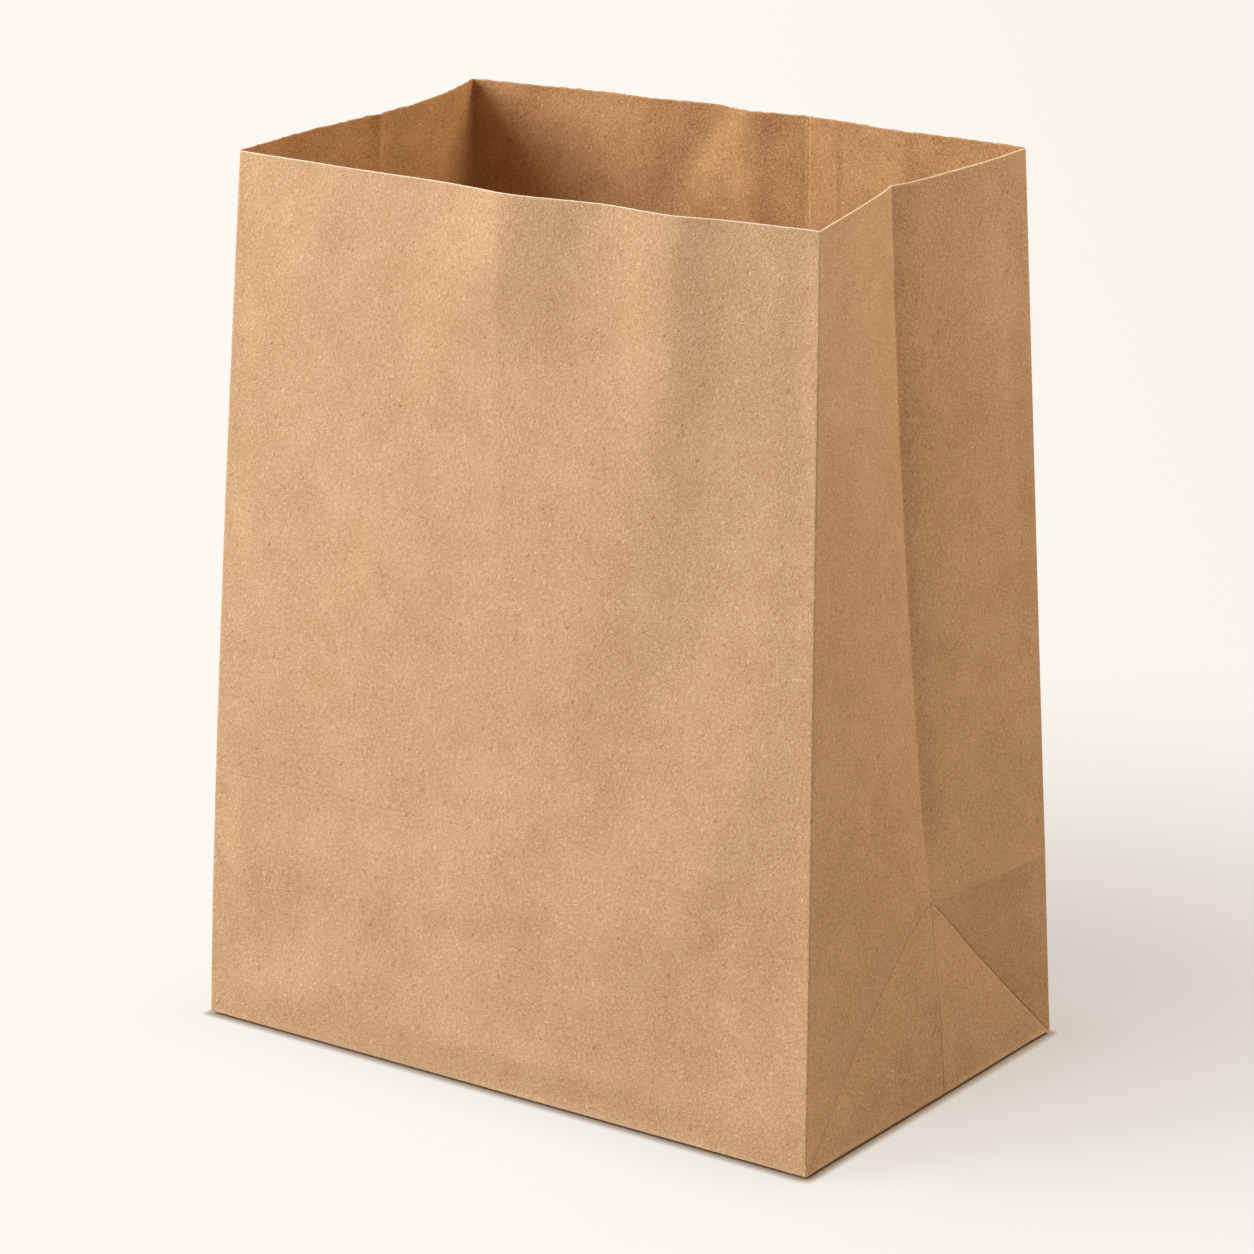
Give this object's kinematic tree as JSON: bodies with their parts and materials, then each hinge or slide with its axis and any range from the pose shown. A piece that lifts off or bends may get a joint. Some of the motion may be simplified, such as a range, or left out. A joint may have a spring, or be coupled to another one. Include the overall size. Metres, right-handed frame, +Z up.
{
  "type": "paper lunch bag",
  "caption": "Open brown kraft paper lunch bag with side gussets, a lap seam and a folded block bottom.",
  "frame": {"origin": "middle of the base, on the surface that the bag stands on", "axes": "+Z up through the open mouth, +X to the right along the front panel, +Y to the back panel with the lap seam"},
  "size_m": [0.205, 0.125, 0.2553],
  "materials": {
    "kraft_paper": "matte unbleached kraft"
  },
  "bodies": {
    "root": {"paper_bag": "kraft_paper"}
  },
  "joints": []
}
